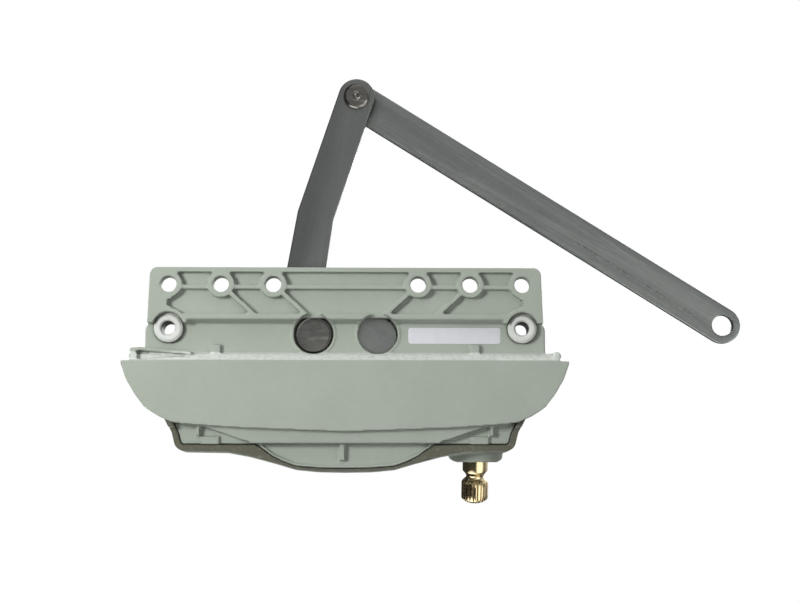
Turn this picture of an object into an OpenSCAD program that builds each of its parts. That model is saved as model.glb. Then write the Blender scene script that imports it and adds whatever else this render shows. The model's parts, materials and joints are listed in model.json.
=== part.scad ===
// Casement window operator: a worm drive in a cast case, a crank arm and a folding link.
// The bedding face is z = 0, +Z points up through the case, and the room side is -Y.
// The origin is the middle of the row of six screw holes.

/* [Flange] */
// Length of the flange beyond the outer holes
flange_end = 6.5; // [6:0.1:8]
// Distance from the screw row back to the rear edge
flange_rear = 5.9; // [5.7:0.1:8]
// Height of the flange
flange_t = 7; // [6.5:0.1:7]
// Depth of the pockets under the flange
pocket_depth = 4; // [2:0.1:4.4]
// Thickness of the ribs in the pockets
rib_t = 1.5; // [1.2:0.1:2.4]
// Thickness of the rim round the pockets
rim_t = 1.7; // [1.4:0.1:2.4]
// Diameter of the six screw holes
screw_hole_d = 5.5; // [4.5:0.1:6.2]
// Diameter of the bosses round the holes
boss_d = 9.3; // [9:0.1:11]
// Distance between the inner pair of holes
inner_pair = 50; // [44:1:54]
// Distance between the middle pair of holes
middle_pair = 86; // [80:1:92]
// Distance between the outer pair of holes
outer_pair = 122; // [114:1:122]

/* [Case] */
// Height of the valley floor above the bedding face
valley_z = 4; // [3:0.1:4.5]
// Thickness of the apron plate
apron_t = 2.5; // [2:0.1:3]
// Thickness of the case walls
wall_t = 2.2; // [1.8:0.1:2.4]
// Thickness of the roof of the cover
roof_t = 2.4; // [2:0.1:4]
// Diameter of the two round openings in the valley floor
opening_d = 13.8; // [13:0.1:14.4]
// Outside diameter of the two white bushes
bush_d = 10; // [9:0.1:10.4]
// Bore of the two white bushes
bush_bore = 4.8; // [4:0.1:6]
// Height of the two white bushes
bush_h = 11.3; // [8:0.1:14]
// Distance from the screw row to the bushes
bush_back = 15; // [14.6:0.1:15.4]

/* [Gears] */
// Slope of the worm shaft above the bedding face
shaft_slope = 20; // [20:0.5:21]
// Thickness of the sector and of the pinion
sector_t = 2.8; // [2.2:0.1:2.8]
// Width of the worm wheel
wheel_w = 5; // [4:0.1:5]
// Thinning of each tooth for backlash
backlash = 0.16; // [0.12:0.01:0.24]

/* [Arm] */
// Distance from the main pivot to the elbow
arm_len = 87.2; // [80:0.5:96]
// Direction of the elbow from the main pivot
arm_dir = 99.6; // [97:0.1:102]
// Thickness of the crank arm
arm_t = 3; // [2.6:0.1:3]
// Width of the crank arm at the elbow
arm_w = 12.9; // [12:0.1:13.6]
// Distance from the elbow to the hole at the end of the link
link_len = 153; // [140:1:170]
// Direction of the link at rest
link_dir = 212.1; // [208:0.1:216]
// Thickness of the link
link_t = 3; // [2.5:0.1:3.2]
// Width of the link
link_w = 12.7; // [11:0.1:13.4]
// Diameter of the hole at the end of the link
link_hole_d = 7.3; // [5:0.1:8]
// Diameter of the elbow rivet
rivet_d = 6; // [5:0.1:7]

/* [Input shaft] */
// Diameter of the plain barrel of the stub
barrel_d = 8.9; // [8.4:0.1:9.2]
// Diameter over the splines
spline_d = 9.5; // [9.2:0.1:10]
// Diameter of the groove for the handle screw
groove_d = 6.2; // [5.6:0.1:6.6]
// Number of splines
spline_count = 22; // [18:1:24]
// Length of the plain barrel
barrel_len = 4.7; // [3:0.1:6]
// Length of the groove, with its sloping sides
groove_len = 3.9; // [3:0.1:5]
// Length of the splines
spline_len = 7.4; // [6:0.1:10]

/* [Hidden] */
$fn = 64;
e = 0.01;

// Colours
stone = [0.66, 0.68, 0.62];
steel = [0.45, 0.46, 0.47];
brass = [0.62, 0.48, 0.27];
bronze = [0.66, 0.52, 0.34];
nylon = [0.90, 0.90, 0.87];

// Half widths of the flange, the case and the ridge, tied to the outer holes
flange_half = outer_pair / 2 + flange_end;
case_half = flange_half + 1.6;
ridge_half = case_half + 3.6;

// Gear train: module, teeth of the worm wheel, of the pinion and of the sector's full circle, and the worm's
// pitch radius. They fix the gear centres in the casting and the ratios between the joints
gear_m = 1.25;
wheel_teeth = 38;
pinion_teeth = 20;
sector_teeth = 34;
worm_r = 4.5;

// Clearances: a running fit, and a gap between faces that never touch
run = 0.05;
gap = 0.3;

// Heights, stacked from the top of the flange
sector_z = flange_t + gap;
arm_z = sector_z + sector_t;
link_z = arm_z + arm_t + 0.7;
wheel_z = arm_z + 0.6;
wheel_mid = wheel_z + wheel_w / 2;
roof_under = wheel_z + wheel_w + 0.9;
cover_top = roof_under + roof_t;
slot_top = arm_z + arm_t + 0.9;

// Gear centres
wheel_r = gear_m * wheel_teeth / 2;
pinion_r = gear_m * pinion_teeth / 2;
sector_r = gear_m * sector_teeth / 2;
addendum = 0.92 * gear_m;
dedendum = 1.2 * gear_m;
gear_span = pinion_r + sector_r;
pivot = [11.1, -16.9];
worm_x = -45.8;
wheel_x = worm_x + wheel_r + worm_r;
wheel_y = pivot[1] - sqrt(gear_span * gear_span - pow(pivot[0] - wheel_x, 2));
wheel_at = [wheel_x, wheel_y];
mesh_dir = atan2(pivot[1] - wheel_y, pivot[0] - wheel_x);
elbow = pivot + arm_len * [cos(arm_dir), sin(arm_dir)];
link_end = elbow + link_len * [cos(link_dir), sin(link_dir)];
pin_r = 4;
spindle_r = 3;

// Bare label in the valley
label_l = 32;
label_w = 5.6;
label_r = 1;
label_x = -53.6;

// Travel of the crank arm from rest, in degrees
arm_back = -55;
arm_forward = 30;

// Valley, ridge and apron along Y
wall_foot = -12.1;
valley_back = -13.4;
valley_front = -23.4;
ridge_front = -26.1;
apron_back = -26.4;
apron_front = -50.6;
scoop_half = 28.6;

// Cover outline
cover_half = 54;
cover_rear = -4.8;
nose_front = -64.3;
nose_rim = 5.4;
band_z = 2.7;
band_front = -54.5;
shelf_z = 6;
shelf_top = 8.6;
dish_z = 7.4;
lip_y = -60.5;

// Worm shaft, along its own axis from the middle of the worm
snout_r = 9.6;
snout_end = 25.2;
worm_half = 7.6;
journal_r = 2.5;
journal_end = 13.8;
shaft_r = 4;
collar_end = 13;
washer_t = 0.5;
seal_r = 0.9;
lead_angle = atan(gear_m / (2 * worm_r));
tooth_helix = shaft_slope - lead_angle;
worm_pitch = PI * gear_m * cos(tooth_helix) / cos(lead_angle);
normal_m = gear_m * cos(tooth_helix);

module disc(r, h, at = [0, 0], z = 0) translate([at[0], at[1], z]) cylinder(r = r, h = h);
module ring(r, bore, h, at = [0, 0], z = 0) difference() {
  disc(r, h, at, z);
  disc(bore, h + 2, at, z - 1);
}
module on_shaft(s = 0)
  translate([worm_x, wheel_y, wheel_mid]) rotate([90 - shaft_slope, 0, 0]) translate([0, 0, s]) children();
function flip_x(points) = [for (i = [len(points) - 1:-1:0]) [-points[i][0], points[i][1]]];
function arc(centre, r, from, to, n) =
  [for (i = [0:n]) let (a = from + (to - from) * i / n) centre + r * [cos(a), sin(a)]];
function turned(p, a) = [p[0] * cos(a) - p[1] * sin(a), p[0] * sin(a) + p[1] * cos(a)];

// Involute teeth
function roll(base_r, r) = sqrt(pow(r / base_r, 2) - 1) * 180 / PI;
function involute(base_r, t) = base_r * [cos(t) + t * PI / 180 * sin(t), sin(t) - t * PI / 180 * cos(t)];
function flank(n, thin, steps) =
  let (r = gear_m * n / 2, base_r = r * cos(20), low = roll(base_r, max(base_r, r - dedendum) + 0.12),
       high = roll(base_r, r + addendum), on_pitch = involute(base_r, roll(base_r, r)),
       lean = atan2(on_pitch[1], on_pitch[0]) + 90 / n - thin / r * 90 / PI)
  [for (i = [0:steps]) turned(involute(base_r, low + (high - low) * i / steps), -lean)];
function mirrored(points) = [for (i = [len(points) - 1:-1:0]) [points[i][0], -points[i][1]]];
function tooth(n, thin, steps) =
  let (side = flank(n, thin, steps), root = (gear_m * n / 2 - dedendum) * [cos(112 / n), -sin(112 / n)])
  concat([root], side, mirrored(side), mirrored([root]));
function teeth_ring(n, thin, steps) =
  [for (k = [0:n - 1]) for (p = tooth(n, thin, steps)) turned(p, k * 360 / n)];

// Screw holes of the flange
function hole_x() = [for (d = [outer_pair, middle_pair, inner_pair]) for (s = [-1, 1]) s * d / 2];

module flange_outline(inset = 0) {
  x = flange_half - inset;
  y = flange_rear - inset;
  r = 2.6 - min(inset, 1.2);
  polygon(concat(arc([x - r, y - r], r, 0, 90, 5), arc([r - x, y - r], r, 90, 180, 5),
    [[-x - 0.6, valley_back], [x + 0.6, valley_back]]));
}

module bush_bores(r, low, high) for (s = [-1, 1]) disc(r, high - low, [s * outer_pair / 2, -bush_back], low);
module opening_bores() for (s = [-1, 1]) disc(opening_d / 2, flange_t + 2, [s * pivot[0], pivot[1]], -1);
module rib(from, to, width, h) {
  d = to - from;
  translate([from[0], from[1], 0]) rotate(atan2(d[1], d[0])) translate([0, -width / 2, 0]) cube([norm(d), width, h]);
}
module along_x(half) rotate([90, 0, 90]) translate([0, 0, -half]) linear_extrude(2 * half) children();

module mounting_flange() color(stone) difference() {
  intersection() {
    union() {
      difference() {
        linear_extrude(flange_t) flange_outline();
        translate([0, 0, -1]) linear_extrude(pocket_depth + 1) flange_outline(rim_t);
      }
      for (x = hole_x()) disc(boss_d / 2, flange_t, [x, 0]);
      // Rib along the row, and a neck from each boss to the rear rim
      translate([-outer_pair / 2, -1.7, 0.3]) cube([outer_pair, rib_t, pocket_depth]);
      for (x = hole_x()) translate([x - 1.6, 0, 0]) cube([3.2, flange_rear - 1, pocket_depth + 0.5]);
      // Front wall of the pockets, which slopes into the valley
      along_x(flange_half + 1) polygon([[wall_foot + 1.9, 0], [wall_foot, 0], [valley_back, valley_z],
        [valley_back, flange_t], [wall_foot + 1.9, flange_t]]);
      for (s = [-1, 1]) for (d = [inner_pair, middle_pair])
        rib([s * d / 2, 0], [s * (d / 2 - 12), wall_foot + 1], rib_t, pocket_depth + 0.5);
      // Solid ends, each with a small notch towards the bush
      for (s = [-1, 1]) difference() {
        translate([s * (outer_pair / 2 + 5) - 6, wall_foot - 2, 0])
          cube([12, flange_rear - wall_foot, pocket_depth + 0.5]);
        translate([s * (outer_pair / 2 - 0.4) - 0.7, -7.6, -1]) cube([1.4, 2.4, pocket_depth]);
      }
      for (s = [-1, 1]) disc(opening_d / 2 + ring_w, flange_t - 2.4, [s * pivot[0], pivot[1]], 2.4);
      bush_bores(bush_d / 2 + 1.8, 0, flange_t);
    }
    linear_extrude(flange_t) flange_outline();
  }
  for (x = hole_x()) {
    disc(screw_hole_d / 2, flange_t + 2, [x, 0], -1);
    translate([x, 0, flange_t - 1.6]) cylinder(r1 = screw_hole_d / 2, r2 = screw_hole_d / 2 + 1.7, h = 1.7);
  }
  for (p = flange_screws) disc(screw_r, flange_t, p, valley_z + 1);
  plate_seat();
  opening_bores();
  bush_bores(bush_d / 2, -1, flange_t + 1);
  bush_bores(bush_d / 2 + 0.4, -1, valley_z - 1);
}

// Apron outline: half of it, from the front middle round to the rear middle
function apron_half() = [
  [0, apron_front], [15.4, apron_front + 0.5], [38.8, apron_front + 1.4], [55.2, apron_front + 2.6],
  [59.4, -47.4], [63.6, -45.5], [66.4, -43.8], [68.6, -42.2], [72, -37.8], [75, -32.7],
  [77, apron_back - 0.7], [76.8, apron_back], [51.6, apron_back], [51.6, apron_back + 0.6], [0, apron_back + 0.6]];
module apron_outline() polygon(concat(apron_half(), flip_x(apron_half())));

// Section of the cover: straight walls with its two top edges rounded off
function crown(low, high) = concat(
  [[low, -1], [low, cover_top - 6], [low + 0.5, cover_top - 3.4], [low + 1.6, cover_top - 1.2], [low + 4, cover_top]],
  [[high - 4, cover_top], [high - 1.6, cover_top - 1.2], [high - 0.5, cover_top - 3.4], [high, cover_top - 6]],
  [[high, -1]]);

// Cover outline: half of it, drawn in by d
function cover_side(d) = concat(
  [[0, nose_front + d], [9, nose_front + 0.2 + d], [17, nose_front + 1 + d], [24 - d / 4, -61.2 + d]],
  [[33.4 - d / 4, -58.7 + d], [41, -57.3 + d], [54.4, -57.1 + d]],
  arc([55.2, -53.4], 3.7 - d, -80, -5, 4),
  [[59.6 - d, -50.8], [61.2 - d, -47.6], [63.4 - d, -43.6], [63.8 - d, -38], [62 - d, -33], [58 - d, -27.8]],
  [[55 - d, -24], [cover_half - d, -21]],
  arc([cover_half - 12, cover_rear - 12], 12 - d, 0, 90, 6),
  [[0, cover_rear - d]]);
function cover_ring(d) =
  let (side = cover_side(d)) concat(side, [for (i = [len(side) - 2:-1:1]) [-side[i][0], side[i][1]]]);

// Rim of the nose: where the underside meets the hull. Half of it, drawn in by d
function rim_side(d) = concat(
  [[0, -63.7 + d], [9, -63.5 + d], [17.3 - d / 2, -62.9 + d], [21.7 - d / 2, -61.3 + d],
   [25.4 - d * 0.7, -59.3 + d * 0.7], [28.5 - d * 0.7, -57 + d * 0.7], [31.2 - d / 2, -55.4 + d], [54, -55.4 + d]],
  arc([55.2, -53.4], 2 - d, -80, -5, 4),
  [[57.9 - d, -50.8], [59.5 - d, -47.6], [59.5 - d, -44]]);
module rim_outline(d = 0) polygon(concat(rim_side(d), flip_x(rim_side(d))));

// Chamber wall of the base, inside the cover, drawn in by d
function chamber_side(d) = [
  [0, band_front + d], [30.2 - d / 3, band_front + d], [36 - d / 2, -53.1 + d], [42.2 - d / 2, -50.9 + d],
  [48, -49 + d], [56.8 - d, -47.4 + d], [61.2 - d, -42.6], [61.4 - d, -38], [59.6 - d, -33.4], [55.8 - d, -28.4],
  [53.2 - d, apron_back]];
module chamber_outline(d = 0) polygon(concat(chamber_side(d), flip_x(chamber_side(d))));

// Screws that hold the cover down
flange_screws = [[cover_half - 5.6, -11.7], [-cover_half + 5.6, -11.7]];
base_screws = [[48, -43.8], [20.5, -46.9], [-54.9, -34.6]];
screws_at = concat(flange_screws, base_screws);
screw_r = 1.5;
ring_w = 0.8;

// Floor of the valley
module valley_outline() {
  r = 2;
  polygon(concat([[-case_half, apron_back], [case_half, apron_back]],
    arc([case_half - r, valley_back - r], r, 0, 90, 5), arc([r - case_half, valley_back - r], r, 90, 180, 5)));
}

// The spindle's washer has a tongue that closes most of the second opening. It lies in a shallow seat
plate_t = 0.4;
plate_z = flange_t - 0.2;
plate_at = [-pivot[0], pivot[1]] + [0.9, -1.2];
module plate_outline(grow = 0) {
  translate(wheel_at) circle(5.6 + grow);
  translate(plate_at) circle(opening_d / 2 + 0.5 + grow);
  translate(wheel_at) rotate(direction(wheel_at, plate_at))
    translate([0, -4 - grow]) square([norm(plate_at - wheel_at), 8 + 2 * grow]);
}
module plate_seat() translate([0, 0, plate_z]) linear_extrude(plate_t + 1) plate_outline(0.2);

module wheel_room() disc(wheel_r + addendum + 0.6, wheel_w + 1.4, wheel_at, wheel_z - 0.7);
module pinion_room() disc(pinion_r + addendum + 0.6, sector_t + 1, wheel_at, sector_z - 0.5);

module case_base() color(stone) difference() {
  union() {
    // Valley floor, with rounded rear corners
    translate([0, 0, valley_z]) linear_extrude(flange_t - valley_z) valley_outline();
    // Ridge between the valley and the apron
    difference() {
      along_x(ridge_half) polygon([[valley_front, valley_z], [valley_front - 0.6, 2.5], [valley_front - 1.6, 1.1],
        [ridge_front, 0.25], [apron_back, 0.25], [apron_back, flange_t], [valley_front, flange_t]]);
      // Wedge-shaped hollow at one end of the ridge
      translate([0, 0, -1]) linear_extrude(3.2) polygon([
        [ridge_half - 1.4, valley_front - 0.3], [ridge_half - 20, valley_front - 0.9],
        [ridge_half - 20, valley_front - 1.2], [ridge_half - 1.4, ridge_front + 0.1]]);
    }
    for (s = [-1, 1]) disc(1.5, flange_t - 0.4, [s * ridge_half, apron_back + 1.7], 0.4);
    // Lip above that hollow
    translate([0, 0, 0.6]) linear_extrude(flange_t - 0.6) polygon([
      [ridge_half - 20, valley_front + 0.1], [ridge_half - 2.4, valley_front + 1.6],
      [ridge_half + 1, valley_front + 1.4], [ridge_half + 1.4, valley_front + 0.4], [ridge_half - 2.4, valley_front + 0.5],
      [ridge_half - 20, valley_front - 0.9]]);
    // Raised rings round the openings
    for (s = [-1, 1])
      disc(opening_d / 2 + ring_w, flange_t - valley_z + 0.4, [s * pivot[0], pivot[1]], valley_z - 0.4);
    linear_extrude(apron_t) apron_outline();
    // Chamber wall, and the floor of the nose below the wheel
    difference() {
      translate([0, 0, band_z]) linear_extrude(flange_t - band_z) chamber_outline();
      translate([0, 0, band_z - 1]) linear_extrude(flange_t) chamber_outline(wall_t);
    }
    intersection() {
      translate([0, 0, band_z]) linear_extrude(2) chamber_outline();
      translate([-60, -60, 0]) cube([120, 14, 10]);
    }
    translate([-50, -48, apron_t - 1]) cube([100, 2, 1 + band_z - apron_t]);
    translate([-scoop_half - 4, band_front, band_z]) cube([2 * scoop_half + 8, wall_t, shelf_top - band_z]);
    // Shelf that closes the nose, with a dish in its middle, tabs and small ribs
    difference() {
      translate([0, 0, shelf_z]) linear_extrude(shelf_top - shelf_z) intersection() {
        rim_outline(0.75);
        polygon([[-59, -47.5], [-44, -47.5], [-38, -48.5], [-30, -52.2], [30, -52.2], [38, -48.5], [44, -47.5],
          [59, -47.5], [59, -70], [-59, -70]]);
      }
      intersection() {
        translate([0, 0, -1]) linear_extrude(20) rim_outline(1.5);
        along_x(scoop_half)
          polygon([[band_front, -1], [band_front, dish_z], [-60, dish_z], [-62.6, shelf_z + 0.2], [-66, -1]]);
      }
    }
    for (s = [-1, 1]) translate([s * 46.3 - 3.1, -55.2 + 0.4, shelf_z - 1.3]) cube([6.2, 2.6, 2]);
    for (s = [-1, 1]) translate([s * 50.5 - 0.6, -52, shelf_z - 2.4]) cube([1.2, 4, 3]);
    translate([0.2, -60.2, shelf_z - 0.6]) cube([1.9, 60.2 + band_front + 1, dish_z - shelf_z + 1]);
    // Bosses under the wheel spindle, the cover screws and the rear end of the shaft
    disc(6.4, flange_t - 0.2 - apron_t / 2, wheel_at, apron_t / 2);
    for (p = base_screws) disc(screw_r + 1.8, flange_t - apron_t / 2, p, apron_t / 2);
    intersection() {
      on_shaft(-journal_end - 1.2) cylinder(r = 5.4, h = journal_end - worm_half - gap + 0.6);
      translate([worm_x - 20, -40, valley_z]) cube([40, 40, 20]);
    }
    translate([worm_x - 4.4, apron_back, 5]) cube([8.8, 7, 3.5]);
    // Laps over the flange, which the bushes pin together
    bush_bores(bush_d / 2 + 1.8, valley_z, flange_t + 1.6);
    // Small gussets in the valley
    for (s = [-1, 1]) translate([s * 44.6 - 1.65, valley_front - 0.2, 2.2]) cube([3.3, 2.9, valley_z - 2]);
  }
  // The flange fills everything behind the seam
  translate([-flange_half - 4, valley_back - 1, -1]) cube([2 * flange_half + 8, 30, 1 + valley_z]);
  translate([-flange_half - 4, valley_back, -1]) cube([2 * flange_half + 8, 30, 1 + flange_t]);
  plate_seat();
  opening_bores();
  bush_bores(bush_d / 2, -1, flange_t + 3);
  bush_bores(bush_d / 2 + 0.4, -1, valley_z - 1);
  disc(spindle_r, flange_t, wheel_at, 1);
  for (p = base_screws) disc(screw_r, flange_t, p, valley_z + 1);
  on_shaft(-journal_end - 0.2) cylinder(r = journal_r + 1.2, h = 20);
  wheel_room();
  pinion_room();
}

// The hull of the nose: everything outside the slanted planes that rise from the rim
module hull_shave() {
  rise = 8;
  intersection() {
    along_x(90) polygon([[-55.4, nose_rim], [-55.4 - 0.6 * rise, nose_rim + rise], [-90, nose_rim + rise], [-90, -1],
      [-55.4, -1]]);
    for_sides_of_nose() rotate([90, 0, 90]) translate([0, 0, -60]) linear_extrude(120)
      polygon([[0, nose_rim], [-rise, nose_rim + rise], [-90, nose_rim + rise], [-90, -1], [0, -1]]);
  }
  along_x(40) polygon([[-63.7, nose_rim], [-63.7 - 0.3 * rise, nose_rim + rise], [-90, nose_rim + rise], [-90, -1],
    [-63.7, -1]]);
}
// Its children twice, with their X axis along one and then the other slanting part of the rim, as far as both reach
module for_sides_of_nose() intersection() {
  translate([30.9, -55.4, 0]) rotate(29.5) children();
  translate([-30.9, -55.4, 0]) rotate(-29.5) children();
}

module case_cover() color(stone) difference() {
  union() {
    difference() {
      intersection() {
        translate([0, 0, apron_t]) linear_extrude(cover_top - apron_t) polygon(cover_ring(0));
        // Rounded top edges at the front, the rear and the sides
        along_x(80) polygon(crown(nose_front - 0.2, cover_rear + 0.2));
        rotate([90, 0, 0]) translate([0, 0, -20]) linear_extrude(100) polygon(crown(-64, 64));
      }
      // Cavity: the whole inside above the shelf, and the rim of the nose below it
      difference() {
        translate([0, 0, -1]) linear_extrude(roof_under + 1) polygon(cover_ring(wall_t));
        translate([-80, -80, -2]) cube([160, 80 - 46, shelf_top + gap + 2]);
      }
      translate([0, 0, -1]) linear_extrude(shelf_top + gap + 1) rim_outline(0.45);
      hull_shave();
    }
    // Snout round the worm shaft
    intersection() {
      on_shaft(collar_end + washer_t) cylinder(r = snout_r, h = snout_end - collar_end - washer_t);
      translate([worm_x - 20, lip_y, nose_rim + 2]) cube([40, 60, 60]);
    }
    // Hood over the worm
    difference() {
      on_shaft(-worm_half - 1.4) cylinder(r = worm_r + 3.8, h = collar_end + worm_half + 3);
      translate([worm_x - 20, -80, -10]) cube([40, 80, roof_under + 11]);
    }
    for (p = screws_at) disc(screw_r + 1.4, roof_under - flange_t + 0.5, p, flange_t);
    disc(pin_r + 4, 1.2, pivot, roof_under - 0.6);
  }
  // Mouth for the arm, and room above the flange and in front of the apron
  translate([-80, -9, -1]) cube([160, 30, slot_top + 1]);
  translate([-80, apron_back - 0.6, -1]) cube([160, 60, flange_t + 1]);
  translate([-80, -90, -1]) cube([160, 90 + apron_front + 1.6, nose_rim + 1]);
  translate([0, 0, -1]) linear_extrude(flange_t + 1 + e) chamber_outline(-0.25);
  for (p = screws_at) {
    disc(screw_r, cover_top, p, 0);
    translate([p[0], p[1], cover_top - 1.6]) cylinder(r1 = screw_r, r2 = screw_r + 1.7, h = 1.7);
  }
  disc(pin_r - 0.8, cover_top, pivot, 5);
  disc(spindle_r, roof_under - 5 + 1.4, wheel_at, 5);
  on_shaft(collar_end) cylinder(r = shaft_r + 2, h = snout_end - collar_end - 2.2 * seal_r - 0.6);
  on_shaft(collar_end) cylinder(r = shaft_r + 2 * seal_r, h = snout_end);
  on_shaft(-worm_half - 1.4) cylinder(r = worm_r + 1.7, h = collar_end + washer_t + worm_half + 1.4);
  wheel_room();
}

module cover_screws() color(steel) for (p = screws_at) difference() {
  union() {
    disc(screw_r, cover_top - valley_z - 2.4, p, valley_z + 1.4);
    translate([p[0], p[1], cover_top - 1.6]) cylinder(r1 = screw_r, r2 = screw_r + 1.55, h = 1.55);
  }
  for (a = [0, 90]) translate([p[0], p[1], cover_top]) rotate(a) cube([3, 0.6, 1.6], center = true);
}

bush_low = 1.7;
module side_bush(s) color(nylon) difference() {
  bush_at = [s * outer_pair / 2, -bush_back];
  union() {
    disc(bush_d / 2, bush_h - 0.3, bush_at, bush_low + 0.3);
    disc(bush_d / 2 - 0.4, bush_h - 1, bush_at, bush_low);
  }
  disc(bush_bore / 2, bush_h + 2, bush_at, bush_low - 1);
}

module main_pivot_pin() color(steel) {
  disc(opening_d / 2 - 0.6, 2.1, pivot, valley_z + 0.8);
  disc(pin_r, roof_under - flange_t - 0.4, pivot, flange_t - 0.2);
  disc(pin_r - 0.8, roof_t + 0.8, pivot, roof_under - 0.7);
  translate([pivot[0], pivot[1], cover_top]) cylinder(r1 = pin_r + 0.4, r2 = pin_r - 1, h = 0.8);
}

module pivot_washer() color(steel)
  ring(pin_r + 3, pin_r + run, roof_under - 0.65 - arm_z - arm_t - 0.95, pivot, arm_z + arm_t + 0.9);

module arm_bush() color(bronze) {
  ring(pin_r + 1.2, pin_r + run, sector_t + arm_t, pivot, sector_z);
  ring(pin_r + 1.9, pin_r + run, 0.8, pivot, arm_z + arm_t);
}

// First and last teeth of the sector, counted from the one nearest the pinion at rest
sector_pitch = 360 / sector_teeth;
sector_low = -ceil((arm_forward + 14) / sector_pitch);
sector_high = ceil((-arm_back + 14) / sector_pitch);
module sector_gear() color(steel) difference() {
  union() {
    disc(6.2, sector_t, arm_foot, sector_z);
    translate([pivot[0], pivot[1], sector_z]) rotate(mesh_dir + 180 + sector_pitch / 2) linear_extrude(sector_t) {
      polygon(concat(
        [for (k = [sector_low:sector_high - 1]) for (p = tooth(sector_teeth, backlash, 3))
          turned(p, k * sector_pitch)],
        arc([0, 0], 9, sector_high * sector_pitch + 35, sector_low * sector_pitch + 315, 12)));
      circle(9.4);
    }
  }
  disc(pin_r + 1.2, 20, pivot, 0);
  for (p = rivets_at) disc(rivet_small_r, 20, p, 0);
}

// The crank arm: a short crank that leaves the pivot to one side, then a bend towards the elbow
arm_bend = [10.9, 26.0];
arm_foot = [16.8, -10.5];
arm_hub_r = 8.1;
rivet_small_r = 1.5;
rivets_at = [for (a = [-30, 60, 150]) arm_foot + 3.6 * [cos(a), sin(a)]];
function direction(a, b) = atan2(b[1] - a[1], b[0] - a[0]);
function left_of(a, b, r) = let (d = (b - a) / norm(b - a)) r * [-d[1], d[0]];
module arm_outline() {
  w = arm_w / 2;
  foot_w = w + 0.6;
  lower = direction(arm_foot, arm_bend);
  upper = direction(arm_bend, elbow);
  polygon(concat([arm_bend - left_of(arm_foot, elbow, w)], arc(elbow, w, upper - 90, upper + 90, 24),
    [arm_bend + left_of(arm_foot, elbow, w)], arc(arm_foot, foot_w, lower + 90, lower + 270, 24)));
  translate(pivot) circle(arm_hub_r);
}
module crank_arm() color(steel) difference() {
  translate([0, 0, arm_z]) linear_extrude(arm_t) arm_outline();
  disc(pin_r + 1.2, 30, pivot, 0);
  disc(rivet_d / 2, 30, elbow, 0);
  for (p = rivets_at) disc(rivet_small_r, 30, p, 0);
}
module sector_rivets() color(steel) for (p = rivets_at) {
  disc(rivet_small_r, sector_t + arm_t + 0.5, p, sector_z);
  disc(rivet_small_r + 0.9, 0.5, p, arm_z + arm_t);
}

module elbow_rivet() color(steel) {
  disc(rivet_d / 2, link_z + link_t - arm_z + 0.1, elbow, arm_z);
  translate([elbow[0], elbow[1], arm_z - 0.7]) cylinder(r = 4.6, h = 0.7);
  translate([elbow[0], elbow[1], arm_z - 1.2]) cylinder(r1 = 3.4, r2 = 4.6, h = 0.5);
  translate([elbow[0], elbow[1], link_z + link_t + 0.1]) cylinder(r1 = 4.8, r2 = 3.6, h = 1.3);
}
module elbow_washer() color(nylon) ring(5.6, rivet_d / 2, link_z - arm_z - arm_t - 0.1, elbow, arm_z + arm_t);

module link_arm() color(steel) difference() {
  translate([elbow[0], elbow[1], link_z]) rotate(link_dir) linear_extrude(link_t) union() {
    translate([0, -link_w / 2]) square([link_len, link_w]);
    circle(link_w / 2);
    intersection() {
      translate([link_len, 0]) circle(link_w / 2 + 0.5);
      translate([link_len - 5, -link_w / 2]) square([20, link_w]);
    }
  }
  disc(rivet_d / 2 + run, 40, elbow, 0);
  disc(link_hole_d / 2, 40, link_end, 0);
  // Shallow crease along the outer part
  translate([elbow[0], elbow[1], link_z - e]) rotate(link_dir)
    translate([link_len * 0.6, link_w / 2 - 4.4, 0]) cube([link_len * 0.33, 0.8, 0.3]);
}

module wheel_spindle() color(steel) {
  disc(spindle_r, roof_under + 1.3 - 1, wheel_at, 1);
}
module spindle_washer() color(steel) difference() {
  translate([0, 0, plate_z]) linear_extrude(plate_t) plate_outline();
  disc(spindle_r, 20, wheel_at, 0);
}
module spindle_clip() color(steel) difference() {
  ring(5.2, spindle_r, 0.6, wheel_at, wheel_z + wheel_w + 0.2);
  translate([wheel_x, wheel_y - 1.6, wheel_z + wheel_w]) cube([8, 3.2, 2]);
}
module wheel_bush() color(bronze)
  ring(spindle_r + 1.2, spindle_r + run, wheel_z + wheel_w - sector_z, wheel_at, sector_z);
pins_at = [for (a = [0, 120, 240]) wheel_at + 7.6 * [cos(a), sin(a)]];

module drive_pinion() color(steel) difference() {
  union() {
    translate([wheel_x, wheel_y, sector_z]) rotate(mesh_dir) linear_extrude(sector_t)
      polygon(teeth_ring(pinion_teeth, backlash, 3));
    disc(pinion_r - dedendum - 0.2, wheel_z - sector_z, wheel_at, sector_z);
  }
  disc(spindle_r + 1.2, 30, wheel_at, 0);
  for (p = pins_at) disc(rivet_small_r, 30, p, 0);
}

// How far the teeth lean over the wheel's width, and the turn that puts a tooth between two turns of the thread
wheel_twist = wheel_w * tan(tooth_helix) / wheel_r * 180 / PI;
wheel_phase = (ceil(worm_half / worm_pitch) - worm_half / worm_pitch) * 360 / wheel_teeth;
module worm_wheel() color(bronze) difference() {
  translate([wheel_x, wheel_y, wheel_mid]) rotate(wheel_twist / 2 + wheel_phase)
    linear_extrude(wheel_w, center = true, twist = wheel_twist, slices = 2)
      polygon(teeth_ring(wheel_teeth, backlash, 2));
  disc(spindle_r + 1.2, 30, wheel_at, 0);
  for (p = pins_at) disc(rivet_small_r, 30, p, 0);
  // Shallow recess in each face of the web
  for (z = [wheel_z - e, wheel_z + wheel_w - 1]) ring(wheel_r - 5, 11.4, 1 + e, wheel_at, z);
}
module wheel_pins() color(steel) for (p = pins_at) disc(rivet_small_r, wheel_z + wheel_w - sector_z, p, sector_z);

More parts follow.
